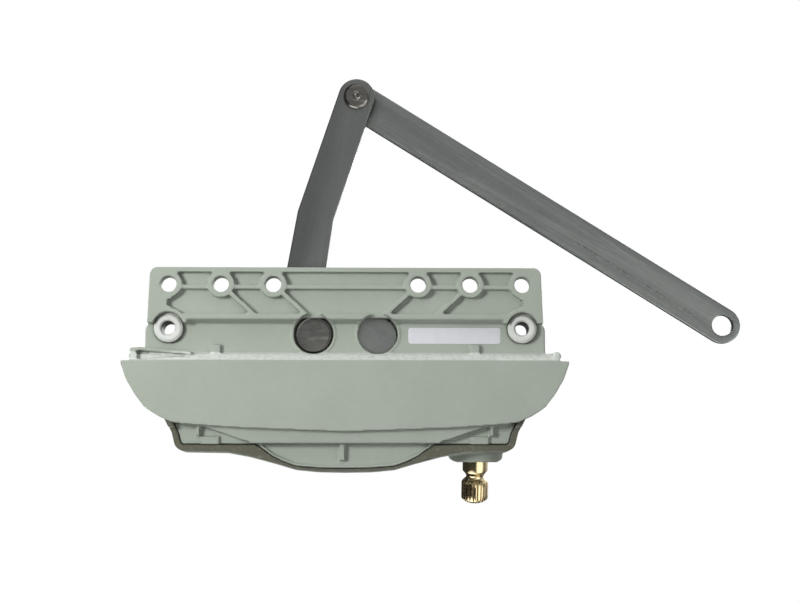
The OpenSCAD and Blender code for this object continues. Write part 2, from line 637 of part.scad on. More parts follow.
// Section of a single-start thread: the radius rises and falls once per turn
thread_tip = worm_r + 0.88 * normal_m;
thread_root = worm_r - 1.15 * normal_m;
function thread_at(u) =
  let (half = worm_pitch / 4 - backlash / 2, x = abs(u - 0.5) * worm_pitch, slope = tan(20) / cos(lead_angle))
  min(thread_tip, max(thread_root, worm_r - (x - half) / slope));
thread_steps = 26;
module worm() color(steel) difference() {
  union() {
    on_shaft(-worm_half) linear_extrude(2 * worm_half, twist = -360 * 2 * worm_half / worm_pitch, slices = 46)
      polygon([for (i = [0:thread_steps - 1]) let (a = i * 360 / thread_steps)
        thread_at(a / 360) * [cos(a), sin(a)]]);
    on_shaft(-journal_end) cylinder(r = journal_r, h = journal_end - worm_half + 1);
    on_shaft(worm_half - e) cylinder(r = shaft_r, h = collar_end - worm_half + e);
  }
  on_shaft(2) cylinder(r = 2, h = collar_end);
  on_shaft(10.4) rotate([90, 0, 0]) cylinder(r = 0.8, h = 20, center = true);
}
module worm_pin() color(steel)
  on_shaft(10.4) rotate([90, 0, 0]) cylinder(r = 0.8, h = 2 * shaft_r - 0.4, center = true);

// The stub, along the shaft from its root: barrel, groove and splines with a rounded tip
stub_root = snout_end + 0.2;
stub_len = barrel_len + groove_len + spline_len;
spline_depth = 0.55;
tip_slope = 1.3;
function splines() = [for (k = [0:spline_count - 1]) for (q = [[-0.36, 0], [-0.16, 1], [0.16, 1], [0.36, 0]])
  let (a = (k + q[0]) * 360 / spline_count, r = spline_d / 2 - (1 - q[1]) * spline_depth) r * [cos(a), sin(a)]];
module input_shaft() color(brass) difference() {
  on_shaft() union() {
    translate([0, 0, 2.2]) cylinder(r = 2, h = collar_end - 2);
    translate([0, 0, collar_end]) cylinder(r = shaft_r, h = snout_end + 0.3 - collar_end);
    intersection() {
      translate([0, 0, stub_root]) linear_extrude(stub_len) circle(d = spline_d);
      union() {
        rotate_extrude() stub_profile();
        intersection() {
          translate([0, 0, stub_root + barrel_len + 1]) linear_extrude(stub_len) polygon(splines());
          rotate_extrude() spline_profile();
        }
      }
    }
  }
  on_shaft(10.4) rotate([90, 0, 0]) cylinder(r = 0.8, h = 20, center = true);
}
// Section of the barrel and of the core under the splines
module stub_profile() {
  lip = stub_root + barrel_len;
  polygon([[0, stub_root], [barrel_d / 2, stub_root], [barrel_d / 2, lip], [barrel_d / 2 - 0.7, lip + 0.7],
    [groove_d / 2, lip + 1.6], [groove_d / 2, lip + groove_len], [0, lip + groove_len]]);
}
// Section that bounds the splines
module spline_profile() {
  lip = stub_root + barrel_len;
  end = stub_root + stub_len;
  polygon([[0, lip + 1.2], [groove_d / 2, lip + 2.3], [groove_d / 2 + 0.5, lip + groove_len - 0.9],
    [spline_d / 2 + 0.1, lip + groove_len], [spline_d / 2 + 0.1, end - tip_slope],
    [spline_d / 2 - 0.5, end - tip_slope / 2], [spline_d / 2 - 1.7, end], [0, end]]);
}

module shaft_ring(r, bore, h, s) on_shaft(s) difference() {
  cylinder(r = r, h = h);
  translate([0, 0, -1]) cylinder(r = bore, h = h + 2);
}
module shaft_rear_bush() color(bronze)
  shaft_ring(journal_r + 1.2, journal_r + run, journal_end - worm_half - gap - 0.6, -journal_end);
module shaft_front_bush() color(bronze)
  shaft_ring(shaft_r + 2, shaft_r + run, snout_end - 2.2 * seal_r - 0.6 - collar_end - washer_t,
    collar_end + washer_t);
module thrust_washer() color(nylon) shaft_ring(shaft_r + 1.6, shaft_r + run, washer_t - 2 * run, collar_end + run);
module shaft_seal() color([0.1, 0.1, 0.1]) on_shaft(snout_end - 1.2 * seal_r)
  rotate_extrude() translate([shaft_r + seal_r, 0]) circle(seal_r - 0.02, $fn = 24);

module date_label() color(nylon)
  translate([label_x, valley_back - 1.2 - label_w, valley_z - 0.15]) linear_extrude(0.15) {
    translate([label_r, 0]) square([label_l - 2 * label_r, label_w]);
    translate([0, label_r]) square([label_l, label_w - 2 * label_r]);
    for (x = [label_r, label_l - label_r]) for (y = [label_r, label_w - label_r]) translate([x, y]) circle(label_r);
  }

mounting_flange();
case_base();
case_cover();
cover_screws();
side_bush(1);  // left_bush
side_bush(-1);  // right_bush
main_pivot_pin();
pivot_washer();
arm_bush();
sector_gear();
sector_rivets();
crank_arm();
elbow_rivet();
elbow_washer();
link_arm();
wheel_spindle();
spindle_washer();
spindle_clip();
wheel_bush();
drive_pinion();
worm_wheel();
wheel_pins();
worm();
worm_pin();
input_shaft();
shaft_rear_bush();
shaft_front_bush();
thrust_washer();
shaft_seal();
date_label();
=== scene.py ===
"""A casement window operator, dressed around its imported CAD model.

Lengths in this file are millimetres and become metres where a mesh is made.
"""

import json
import math

import bmesh
import bpy
from mathutils import Matrix, Vector
from mathutils.bvhtree import BVHTree


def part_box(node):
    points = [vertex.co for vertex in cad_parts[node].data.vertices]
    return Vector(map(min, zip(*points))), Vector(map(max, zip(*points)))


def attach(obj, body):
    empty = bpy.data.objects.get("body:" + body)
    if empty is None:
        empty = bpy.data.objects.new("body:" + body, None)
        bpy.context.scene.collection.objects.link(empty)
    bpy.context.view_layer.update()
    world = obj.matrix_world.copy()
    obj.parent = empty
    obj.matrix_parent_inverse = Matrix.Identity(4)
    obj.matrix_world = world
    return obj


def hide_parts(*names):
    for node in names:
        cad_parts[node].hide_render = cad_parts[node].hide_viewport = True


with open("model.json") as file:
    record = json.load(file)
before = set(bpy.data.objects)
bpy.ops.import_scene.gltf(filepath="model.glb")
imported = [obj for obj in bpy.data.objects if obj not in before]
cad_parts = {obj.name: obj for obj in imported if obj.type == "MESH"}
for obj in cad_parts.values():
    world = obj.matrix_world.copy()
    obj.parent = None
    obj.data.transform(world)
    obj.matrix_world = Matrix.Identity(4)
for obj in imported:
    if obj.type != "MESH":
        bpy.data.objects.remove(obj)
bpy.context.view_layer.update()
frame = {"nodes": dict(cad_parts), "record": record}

bl_info = {
    "name": "Casement operator dresser",
    "version": (1, 0, 0),
    "blender": (4, 5, 0),
    "location": "View3D > Sidebar > Operator",
    "description": "Builds the visible pieces and finishes of a casement window operator",
    "category": "Object",
}

MM = 0.001
PHOTO_WIDTH = 800
SENSOR = 36.0


def box_mm(node):
    """Lowest and highest corner of a CAD node, in millimetres."""
    low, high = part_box(node)
    return low / MM, high / MM


def middle_mm(node):
    """Centre of a CAD node's box, in millimetres."""
    low, high = box_mm(node)
    return (low + high) / 2


# Places that the frame gives

MOUNTS = {entry["name"]: entry for entry in frame["record"]["mounts"]}
PIVOT = middle_mm("main_pivot_pin")
ELBOW = middle_mm("elbow_rivet")
SASH_END = Vector(MOUNTS["sash_end_hole"]["pos_m"]) / MM
STUB_GRIP = Vector(MOUNTS["handle_spline"]["pos_m"]) / MM
STUB_AXIS = Vector(MOUNTS["handle_spline"]["axis"]).normalized()


def sized(label, text, value, least=0.0):
    """A length that a user can change."""
    text += ", in millimetres"
    return bpy.props.FloatProperty(name=label, description=text, default=value, min=least)


def located(label, text, value):
    """A place in the picture plane that a user can change."""
    text += ", in millimetres"
    return bpy.props.FloatVectorProperty(name=label, description=text, size=2, default=value)


def counted(label, text, value, least):
    """A number of things that a user can change."""
    return bpy.props.IntProperty(name=label, description=text, default=value, min=least)


def coloured(label, value):
    """A colour that a user can change, given in linear light."""
    text = label + " of the part, in linear light"
    return bpy.props.FloatVectorProperty(
        name=label, description=text, subtype="COLOR", size=3, min=0.0, max=1.0, default=value
    )


class SteelSizes(bpy.types.PropertyGroup):
    """Sizes of the crank arm and the link."""

    arm_bend: located("Arm bend", "Where the arm's middle line bends", (10.9, 26.0))
    arm_foot: located("Arm foot", "Where the arm's middle line ends", (16.8, -10.5))
    arm_width: sized("Arm width", "Width of the arm at the elbow", 12.9, 8.0)
    foot_spread: sized("Foot spread", "How much wider the foot is on each side", 0.6)
    hub_radius: sized("Hub radius", "Radius of the crank arm round the pivot", 8.1, 6.0)
    hub_width: sized("Hub width", "Width of the arm's ring round the pivot", 3.0, 1.0)
    link_width: sized("Link width", "Width of the link", 12.7, 8.0)
    link_hole: sized("Link hole", "Diameter of the hole at the link's end", 7.3, 3.0)
    shank_hole: sized("Shank hole", "Radius of the link's rivet hole", 3.1, 1.0)
    crease_inset: sized("Crease inset", "Distance of the link's crease from its edge", 3.9)
    crease_width: sized("Crease width", "Width of the link's crease", 0.5, 0.1)
    crease_depth: sized("Crease depth", "Depth of the link's crease", 0.22, 0.05)
    edge_round: sized("Edge rounding", "Radius on the strips' edges", 0.45, 0.05)


class CastingSizes(bpy.types.PropertyGroup):
    """How the castings are made, and how deep and how closed they look."""

    grid: sized("Casting grid", "Side of the cells that the castings are rebuilt from", 0.36, 0.2)
    smoothing: counted("Smoothing passes", "How often the corners are eased", 3, 0)
    pocket_depth: sized("Pocket depth", "Depth of the pockets in the flange", 2.5, 1.0)
    pocket_front: sized("Pocket front", "Where the pockets end along Y", -11.4, -60.0)
    plate_inset: sized("Plate inset", "Distance of the plate from the flange's edge", 1.0)
    plate_height: sized("Plate height", "Thickness of the plate", 2.4, 0.5)
    rim_gap: sized("Rim gap", "Widest line between rim and base that is closed", 0.5)
    rim_height: sized("Rim height", "How far up the rim is drawn against the base", 1.0)
    screw_seat: sized("Screw seat", "Radius kept clear round each screw", 3.6, 2.75)
    faces_kept: bpy.props.FloatProperty(
        name="Faces kept", description="Share of the small faces that stay", subtype="FACTOR",
        default=0.16, min=0.02, max=1.0
    )


class StubSizes(bpy.types.PropertyGroup):
    """Sizes of the splined stub and of the shaft behind it."""

    splines: counted("Splines", "Number of splines on the stub", 22, 10)
    spline_diameter: sized("Spline diameter", "Diameter over the splines", 9.5, 6.0)
    spline_depth: sized("Spline depth", "Depth of the splines' valleys", 0.55, 0.1)
    barrel_diameter: sized("Barrel diameter", "Diameter of the plain barrel", 8.9, 6.0)
    barrel_length: sized("Barrel length", "Length of the plain barrel", 4.7, 1.0)
    groove_diameter: sized("Groove diameter", "Diameter in the groove", 6.2, 4.0)
    groove_length: sized("Groove length", "Length of the groove", 3.9, 1.0)
    length: sized("Stub length", "Length of the stub outside the cover", 16.0, 8.0)
    grip: sized("Handle grip", "Distance from root to the handle's middle", 12.0, 4.0)
    inner_length: sized("Inner length", "Length of the shaft inside the case", 23.2, 10.0)
    spigot_length: sized("Spigot length", "Length of the shaft's thin inner end", 10.8, 1.0)
    spigot_radius: sized("Spigot radius", "Radius of the shaft's thin inner end", 2.0, 1.0)
    journal_radius: sized("Journal radius", "Radius of the shaft in its front bush", 4.0, 2.0)


class FinishColours(bpy.types.PropertyGroup):
    """Colours of the finishes."""

    stone: coloured("Stone grey coating", (0.385, 0.428, 0.372))
    # Second colour of the coating's random patches
    stone_dark: coloured("Darker patches of the coating", (0.345, 0.383, 0.328))
    # Dirt and painted shade: the colour that corners and holes darken towards
    dirt_and_shade: coloured("Grime in the corners", (0.060, 0.062, 0.042))
    strip: coloured("Steel strip", (0.165, 0.176, 0.168))
    # Pale steel for drawn lines and scratches, and for the painted highlight on the strips' edges
    strip_light: coloured("Rubbed steel strip and painted edge highlight", (0.300, 0.318, 0.304))
    rivet: coloured("Rivet steel", (0.092, 0.089, 0.083))
    gear: coloured("Gear steel", (0.110, 0.108, 0.100))
    pin: coloured("Oiled pivot steel", (0.095, 0.096, 0.088))
    screw: coloured("Plated screws", (0.420, 0.420, 0.400))
    brass: coloured("Dark brass", (0.500, 0.420, 0.255))
    bronze: coloured("Bearing bronze", (0.420, 0.255, 0.115))
    nylon: coloured("White nylon", (0.700, 0.725, 0.690))
    label: coloured("Label paper", (0.700, 0.715, 0.760))
    rubber: coloured("Seal rubber", (0.020, 0.020, 0.020))
    floor: coloured("Floor", (0.860, 0.865, 0.860))


# Shader nodes


def put(tree, kind, inputs=(), **settings):
    """Adds a node. Its inputs are given by name or number, as values or as the sockets that feed them."""
    node = tree.nodes.new(kind)
    for key, value in settings.items():
        setattr(node, key, value)
    for key, value in dict(inputs).items():
        if isinstance(value, bpy.types.NodeSocket):
            tree.links.new(value, node.inputs[key])
        else:
            node.inputs[key].default_value = value
    return node


def blend(tree, share, first, second, mode="MIX"):
    """Mixes two colours by a share."""
    node = put(tree, "ShaderNodeMix", {0: share, 6: first, 7: second}, data_type="RGBA", blend_type=mode)
    return node.outputs[2]


def combined(tree, operation, first, second):
    """Joins two values by a sum, a product or the like."""
    return put(tree, "ShaderNodeMath", {0: first, 1: second}, operation=operation).outputs[0]


def product(tree, first, *others):
    """Multiplies values."""
    for other in others:
        first = combined(tree, "MULTIPLY", first, other)
    return first


def noise(tree, vector, scale, detail):
    """A cloudy value about one half."""
    return put(tree, "ShaderNodeTexNoise", {"Vector": vector, "Scale": scale, "Detail": detail}).outputs[0]


def vector_math(tree, operation, first, second=None):
    """Joins two vectors."""
    inputs = {0: first} if second is None else {0: first, 1: second}
    return put(tree, "ShaderNodeVectorMath", inputs, operation=operation)


def spread(tree, value, low, high, to_low=0.0, to_high=1.0):
    """Maps a value from one span to another, held inside it."""
    inputs = {"Value": value, "From Min": low, "From Max": high, "To Min": to_low, "To Max": to_high}
    return put(tree, "ShaderNodeMapRange", inputs).outputs[0]


def rgba(colour):
    """A colour with its alpha."""
    return (*colour, 1.0)


def toned(colour, level):
    """A colour made darker or lighter."""
    return [min(1.0, part * level) for part in colour]


MID_GREY = (0.5, 0.5, 0.5, 1.0)


def new_group(name, **inputs):
    """A shader group that takes the place on the piece, then numbers and colours with their defaults."""
    group = bpy.data.node_groups.new(name, "ShaderNodeTree")
    group.interface.new_socket(name="Vector", in_out="INPUT", socket_type="NodeSocketVector")
    for label, value in inputs.items():
        kind = "NodeSocketFloat" if isinstance(value, float) else "NodeSocketColor"
        group.interface.new_socket(name=label, in_out="INPUT", socket_type=kind).default_value = value
    return group, group.nodes.new("NodeGroupInput").outputs


def give_out(group, **outputs):
    """Names what a group puts out, and ends it."""
    for label, socket in outputs.items():
        kind = "NodeSocketColor" if socket.type == "RGBA" else "NodeSocketFloat"
        group.interface.new_socket(name=label, in_out="OUTPUT", socket_type=kind)
    leave = group.nodes.new("NodeGroupOutput").inputs
    for label, socket in outputs.items():
        group.links.new(socket, leave[label])
    return group


def mottle_group():
    """Cloudy patches of a second colour, coarse and fine."""
    fine_share = 0.6
    group, entry = new_group("Mottle", Scale=60.0, Colour=MID_GREY, Second=MID_GREY, Amount=0.5)
    coarse = noise(group, entry["Vector"], entry["Scale"], 3.0)
    fine = noise(group, entry["Vector"], product(group, entry["Scale"], 9.0), 4.0)
    both = combined(group, "ADD", coarse, product(group, fine, fine_share))
    mask = spread(group, both, 0.62, 0.98)
    share = product(group, mask, entry["Amount"])
    return give_out(group, Colour=blend(group, share, entry["Colour"], entry["Second"]), Mask=mask)


def edge_rub_and_highlight_group():
    """Rubbed outer edges and painted edge highlights, found by how far a rounded normal leans from the true
    one.
    """
    group, entry = new_group("Edge rub and highlight", Width=0.0006, Scale=900.0, Amount=0.5)
    rounded = put(group, "ShaderNodeBevel", {"Radius": entry["Width"]}, samples=4).outputs[0]
    normal = put(group, "ShaderNodeNewGeometry").outputs["Normal"]
    lean = vector_math(group, "DOT_PRODUCT", rounded, normal).outputs["Value"]
    edge = spread(group, lean, 0.995, 0.86)
    patches = spread(group, noise(group, entry["Vector"], entry["Scale"], 4.0), 0.36, 0.62)
    return give_out(group, Mask=product(group, edge, patches, entry["Amount"]))


def painted_light_band_group():
    """A long uneven band of painted light on faces that look down, between two places along Y and under a
    top.
    """
    soft_edge = 0.4 * MM
    group, entry = new_group("Painted light band", Low=0.0, High=0.001, Top=1.0, Amount=0.5)
    place = put(group, "ShaderNodeSeparateXYZ", {0: entry["Vector"]}).outputs
    above = spread(group, combined(group, "SUBTRACT", place["Y"], entry["Low"]), 0.0, soft_edge)
    below = spread(group, combined(group, "SUBTRACT", entry["High"], place["Y"]), 0.0, soft_edge)
    under = spread(group, combined(group, "SUBTRACT", entry["Top"], place["Z"]), 0.0, soft_edge)
    normal = put(group, "ShaderNodeNewGeometry").outputs["Normal"]
    facing = spread(group, put(group, "ShaderNodeSeparateXYZ", {0: normal}).outputs["Z"], -0.2, -0.5)
    broken = spread(group, noise(group, entry["Vector"], 700.0, 3.0), 0.3, 0.6, 0.6, 1.0)
    return give_out(group, Mask=product(group, above, below, under, facing, broken, entry["Amount"]))


def dirt_and_shade_group():
    """Dirt and painted shade that gather in corners and holes."""
    group, entry = new_group("Corner dirt and shade", Colour=MID_GREY, Grime=MID_GREY, Reach=0.004, Amount=0.5)
    # Painted shade as well as dirt: the more closed in a corner is, the darker it gets
    hollow = put(group, "ShaderNodeAmbientOcclusion", {"Distance": entry["Reach"]}, samples=6)
    closed = spread(group, hollow.outputs["AO"], 0.9, 0.25)
    broken = spread(group, noise(group, entry["Vector"], 320.0, 4.0), 0.25, 0.7, 0.55, 1.0)
    mask = product(group, closed, broken, entry["Amount"])
    return give_out(group, Colour=blend(group, mask, entry["Colour"], entry["Grime"]))


def scratch_group():
    """Fine lines along X of the given vector, and a few longer bright scratches."""
    sway = 1.5 * MM
    group, entry = new_group("Drawn lines", Scale=1500.0, Stretch=0.02)
    squeeze = put(group, "ShaderNodeCombineXYZ", {0: entry["Stretch"], 1: 1.0, 2: 1.0}).outputs[0]
    pulled = vector_math(group, "MULTIPLY", entry["Vector"], squeeze).outputs[0]
    inputs = {"Vector": pulled, "Scale": entry["Scale"], "Detail": 3.0, "Roughness": 0.6}
    lines = put(group, "ShaderNodeTexNoise", inputs).outputs[0]
    bent = put(group, "ShaderNodeTexNoise", {"Vector": entry["Vector"], "Scale": 60.0, "Detail": 1.0})
    swayed = vector_math(group, "MULTIPLY_ADD", bent.outputs["Color"], (sway, sway, sway))
    group.links.new(pulled, swayed.inputs[2])
    few = noise(group, swayed.outputs[0], product(group, entry["Scale"], 0.45), 1.0)
    return give_out(group, Lines=spread(group, lines, 0.3, 0.7), Scratches=spread(group, few, 0.68, 0.76))


def grain_group():
    """Surface height of a coated or tumbled surface: fine pits on a soft swell."""
    group, entry = new_group("Grain", Scale=2500.0, Swell=0.4)
    pits = noise(group, entry["Vector"], entry["Scale"], 2.0)
    swell = noise(group, entry["Vector"], product(group, entry["Scale"], 0.14), 2.0)
    return give_out(group, Height=combined(group, "ADD", pits, product(group, swell, entry["Swell"])))


MATERIALS = {}
GROUPS = {}
GROUP_MAKERS = {
    "Mottle": mottle_group,
    "Edge rub and highlight": edge_rub_and_highlight_group,
    "Corner dirt and shade": dirt_and_shade_group,
    "Painted light band": painted_light_band_group,
    "Drawn lines": scratch_group,
    "Grain": grain_group,
}


def grouped(tree, name, place, **inputs):
    """Adds one of the shader groups and gives its outputs."""
    inputs = {"Vector": place, **inputs}
    return put(tree, "ShaderNodeGroup", inputs, node_tree=GROUPS[name]).outputs


def start_material(name):
    """A material with a Principled shader; gives its tree, that shader and the object's own coordinates."""
    material = bpy.data.materials.new(name)
    material.use_nodes = True
    tree = material.node_tree
    shader = tree.nodes["Principled BSDF"]
    place = put(tree, "ShaderNodeTexCoord").outputs["Object"]
    MATERIALS[name] = material
    return tree, shader, place


def bump(tree, height, depth, shader, strength=1.0):
    """Feeds a height to the shader's normal, with its depth in millimetres."""
    node = put(tree, "ShaderNodeBump", {"Strength": strength, "Distance": depth * MM, "Height": height})
    tree.links.new(node.outputs[0], shader.inputs["Normal"])


def mottled(tree, place, scale, colour, second, amount):
    """The patches of a second colour on the first one."""
    inputs = {"Scale": scale, "Colour": rgba(colour), "Second": rgba(second), "Amount": amount}
    return grouped(tree, "Mottle", place, **inputs)


def rubbed_and_highlighted(tree, place, tone, light, width, amount):
    """A tone with rubbed edges and painted edge highlights in a lighter colour. The width is in millimetres.
    """
    edge = grouped(tree, "Edge rub and highlight", place, Width=width * MM, Amount=amount)
    return blend(tree, edge["Mask"], tone, rgba(light))


def banded(tree, place, tone, colour, low, high, top, amount):
    """A tone with a band of another colour, used for a painted highlight and for painted shade. Its places
    are in millimetres.
    """
    strip = grouped(tree, "Painted light band", place, Low=low * MM, High=high * MM, Top=top * MM, Amount=amount)
    return blend(tree, strip["Mask"], tone, rgba(colour))


def dirtied_and_shaded(tree, place, tone, dirt_and_shade, reach, amount, shader):
    """Feeds a tone with dirt and painted shade in its corners to the shader. The reach is in millimetres."""
    inputs = {"Colour": tone, "Grime": rgba(dirt_and_shade), "Reach": reach * MM, "Amount": amount}
    dirty_and_shaded = grouped(tree, "Corner dirt and shade", place, **inputs)
    tree.links.new(dirty_and_shaded["Colour"], shader.inputs["Base Color"])


def coated(name, colour, second, dirt_and_shade, scale=45.0, amount=0.5, roughness=(0.42, 0.6), grain=(1900.0, 0.05),
           dirt_and_shade_amount=0.75, reach=3.5, rub=None, band=None):
    """A coated, moulded or painted surface. A band of it may carry painted light in a colour of its own."""
    tree, shader, place = start_material(name)
    mottle = mottled(tree, place, scale, colour, second, amount)
    tone = mottle["Colour"]
    if rub:
        tone = rubbed_and_highlighted(tree, place, tone, **rub)
    if band:
        tone = banded(tree, place, tone, **band)
    dirtied_and_shaded(tree, place, tone, dirt_and_shade, reach, dirt_and_shade_amount, shader)
    gloss = spread(tree, mottle["Mask"], 0.0, 1.0, *roughness)
    tree.links.new(gloss, shader.inputs["Roughness"])
    shader.inputs["Specular IOR Level"].default_value = 0.4
    pit_scale, pit_depth = grain
    bump(tree, grouped(tree, "Grain", place, Scale=pit_scale)["Height"], pit_depth, shader)


def metal(name, colour, light, dirt_and_shade, turn=0.0, stretch=0.02, lines=1500.0, metallic=0.85,
          roughness=(0.3, 0.5), patches=70.0, patch_amount=0.35, line_amount=0.35, scratch_amount=0.4,
          rub_and_highlight_width=0.5, rub_and_highlight_amount=0.6, dirt_and_shade_amount=0.6):
    """A metal with drawn lines along a direction, patches, scratches, and rubbed edges that also carry a
    painted edge highlight.
    """
    # The last level lightens the rubbed edges, which is partly a painted edge highlight
    dark, bright, edge_highlight = 0.62, 1.5, 1.35
    dirt_and_shade_reach = 2.0
    line_depth = 0.02
    tree, shader, place = start_material(name)
    turned = put(tree, "ShaderNodeMapping", {"Vector": place, "Rotation": (0.0, 0.0, -turn)}).outputs[0]
    drawn = grouped(tree, "Drawn lines", turned, Scale=lines, Stretch=stretch)
    mottle = mottled(tree, place, patches, colour, toned(colour, dark), patch_amount)
    share = product(tree, drawn["Lines"], line_amount)
    tone = blend(tree, share, mottle["Colour"], rgba(light))
    share = product(tree, drawn["Scratches"], scratch_amount)
    tone = blend(tree, share, tone, rgba(toned(light, bright)))
    tone = rubbed_and_highlighted(tree, place, tone, toned(light, edge_highlight), rub_and_highlight_width, rub_and_highlight_amount)
    dirtied_and_shaded(tree, place, tone, dirt_and_shade, dirt_and_shade_reach, dirt_and_shade_amount, shader)
    shader.inputs["Metallic"].default_value = metallic
    worn = product(tree, mottle["Mask"], 0.6)
    gloss = spread(tree, combined(tree, "ADD", worn, share), 0.0, 1.0, *roughness)
    tree.links.new(gloss, shader.inputs["Roughness"])
    height = combined(tree, "SUBTRACT", drawn["Lines"], drawn["Scratches"])
    bump(tree, height, line_depth, shader, 0.6)


STONE_RUB = {"light": (0.50, 0.54, 0.47), "width": 0.45, "amount": 0.5}
# Bands of painted light on the castings: cast_stone gets a pale painted highlight along the frame's sloped
# ridge, and cast_shaded gets dark painted shade on the cover rim's faces that look down
STONE_PAINTED_LIGHT_BANDS = {
    "cast_stone": {"colour": (0.68, 0.72, 0.68), "low": -26.4, "high": -23.2, "top": 30.0, "amount": 0.95},
    "cast_shaded": {"colour": (0.112, 0.110, 0.082), "low": -70.0, "high": -46.0, "top": 7.6, "amount": 1.3},
}
# Oil dirt and painted shade for the corners of the gears and pins
OIL_DIRT_AND_SHADE = (0.03, 0.025, 0.015)


def build_finishes(colours):
    """Makes every shader group and material of the part."""
    for name, maker in GROUP_MAKERS.items():
        GROUPS[name] = maker()
    # Dirt and painted shade for the corners of every finish
    dirt_and_shade = tuple(colours.dirt_and_shade)
    link_turn = direction_of(ELBOW, SASH_END)
    arm_turn = direction_of(PIVOT, ELBOW)
    # The two castings are lit and shaded copies of one coating, told apart by their painted band
    for name, band in STONE_PAINTED_LIGHT_BANDS.items():
        coated(name, colours.stone, colours.stone_dark, dirt_and_shade, dirt_and_shade_amount=0.5, reach=1.6, rub=STONE_RUB,
               band=band)
    coated("white_nylon", colours.nylon, toned(colours.nylon, 0.85), (0.12, 0.12, 0.10), scale=120.0,
           roughness=(0.35, 0.5), grain=(1400.0, 0.04), dirt_and_shade_amount=0.9)
    # Dark tone of the sleeve that paints shade inside the bushes' bores
    coated("shaded_bore", toned(colours.nylon, 0.2), toned(colours.nylon, 0.12), dirt_and_shade, scale=160.0,
           roughness=(0.4, 0.6), grain=(1400.0, 0.03), reach=1.0)
    coated("label_white", colours.label, toned(colours.label, 0.93), (0.25, 0.25, 0.24), scale=260.0,
           amount=0.7, roughness=(0.45, 0.6), grain=(3200.0, 0.012), dirt_and_shade_amount=0.3, reach=0.6)
    coated("seal_rubber", colours.rubber, toned(colours.rubber, 1.8), (0.01, 0.01, 0.01), scale=160.0,
           roughness=(0.55, 0.8), grain=(2600.0, 0.04), reach=1.0)
    # The strips' strong edge rub is partly wear and partly a painted highlight along their edges
    metal("link_steel", colours.strip, colours.strip_light, dirt_and_shade, turn=link_turn, roughness=(0.34, 0.5),
          patches=55.0, patch_amount=0.3, line_amount=0.22, scratch_amount=0.22, rub_and_highlight_amount=0.9)
    metal("arm_steel", toned(colours.strip, 0.78), colours.strip_light, dirt_and_shade, turn=arm_turn,
          roughness=(0.38, 0.5), patch_amount=0.15, line_amount=0.10, scratch_amount=0.12, rub_and_highlight_amount=0.9)
    # The rivet's pale colour and full edge rub paint a bright highlight round the chamfer of its head
    metal("rivet_steel", colours.rivet, (0.68, 0.65, 0.58), dirt_and_shade, stretch=0.3, lines=900.0,
          roughness=(0.12, 0.26), line_amount=0.08, scratch_amount=0.1, rub_and_highlight_width=0.7, rub_and_highlight_amount=1.0,
          dirt_and_shade_amount=0.3)
    metal("gear_steel", colours.gear, (0.26, 0.25, 0.23), OIL_DIRT_AND_SHADE, stretch=0.15, lines=1100.0,
          roughness=(0.3, 0.55))
    metal("pin_steel", colours.pin, (0.20, 0.20, 0.19), OIL_DIRT_AND_SHADE, stretch=0.4, lines=700.0,
          roughness=(0.25, 0.5), patches=220.0, patch_amount=0.7)
    metal("screw_steel", colours.screw, (0.60, 0.60, 0.58), dirt_and_shade, stretch=0.4, lines=1000.0, metallic=1.0,
          roughness=(0.22, 0.42))
    metal("stub_brass", colours.brass, (0.72, 0.56, 0.30), (0.035, 0.024, 0.010), stretch=0.5, lines=900.0,
          metallic=1.0, roughness=(0.14, 0.26), patches=150.0, line_amount=0.1, scratch_amount=0.2,
          dirt_and_shade_amount=0.35)
    metal("bearing_bronze", colours.bronze, (0.62, 0.44, 0.24), (0.05, 0.03, 0.01), stretch=0.4, lines=900.0,
          metallic=1.0, roughness=(0.3, 0.5))


# Meshes


SAME_POINT = 1e-7
TINY = 1e-6
CENTRE_RADIUS = 0.02
UP = Vector((0.0, 0.0, 1.0))


def placed(name, data):
    """An object with the given mesh, curve, lamp or camera, in the scene."""
    item = bpy.data.objects.new(name, data)
    bpy.context.scene.collection.objects.link(item)
    return item


def add_piece(name, mesh, material, body, nodes=(), crease=35.0):
    """Puts a finished mesh in the scene: its material, its body and the CAD nodes that it stands for."""
    piece = placed(name, mesh)
    mesh.materials.clear()
    mesh.materials.append(MATERIALS[material])
    for polygon in mesh.polygons:
        polygon.use_smooth = True
    mesh.set_sharp_from_angle(angle=math.radians(crease))
    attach(piece, body)
    if nodes:
        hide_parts(*nodes)
    return piece


def joined(mesh, distance, flat_angle=None):
    """Merges the points within a distance in metres, and flat faces, and turns the faces outwards."""
    work = bmesh.new()
    work.from_mesh(mesh)
    bmesh.ops.remove_doubles(work, verts=work.verts, dist=distance)
    if flat_angle:
        bmesh.ops.dissolve_limit(work, angle_limit=flat_angle, verts=work.verts, edges=work.edges)
    bmesh.ops.recalc_face_normals(work, faces=work.faces)
    work.to_mesh(mesh)
    work.free()
    return mesh


def shell(vertices, faces, name):
    """A mesh from points in millimetres, with its faces turned outwards."""
    mesh = bpy.data.meshes.new(name)
    mesh.from_pydata([tuple(c * MM for c in v) for v in vertices], [], faces)
    return joined(mesh, SAME_POINT)


def evaluated(piece):
    """A mesh with the object's modifiers applied; the object goes away."""
    bpy.context.view_layer.update()
    graph = bpy.context.evaluated_depsgraph_get()
    mesh = bpy.data.meshes.new_from_object(piece.evaluated_get(graph))
    bpy.data.objects.remove(piece)
    return mesh


def frame_along(axis):
    """Two directions square to an axis."""
    side = axis.cross(UP)
    if side.length < TINY:
        side = Vector((1.0, 0.0, 0.0))
    side.normalize()
    return side, axis.cross(side)


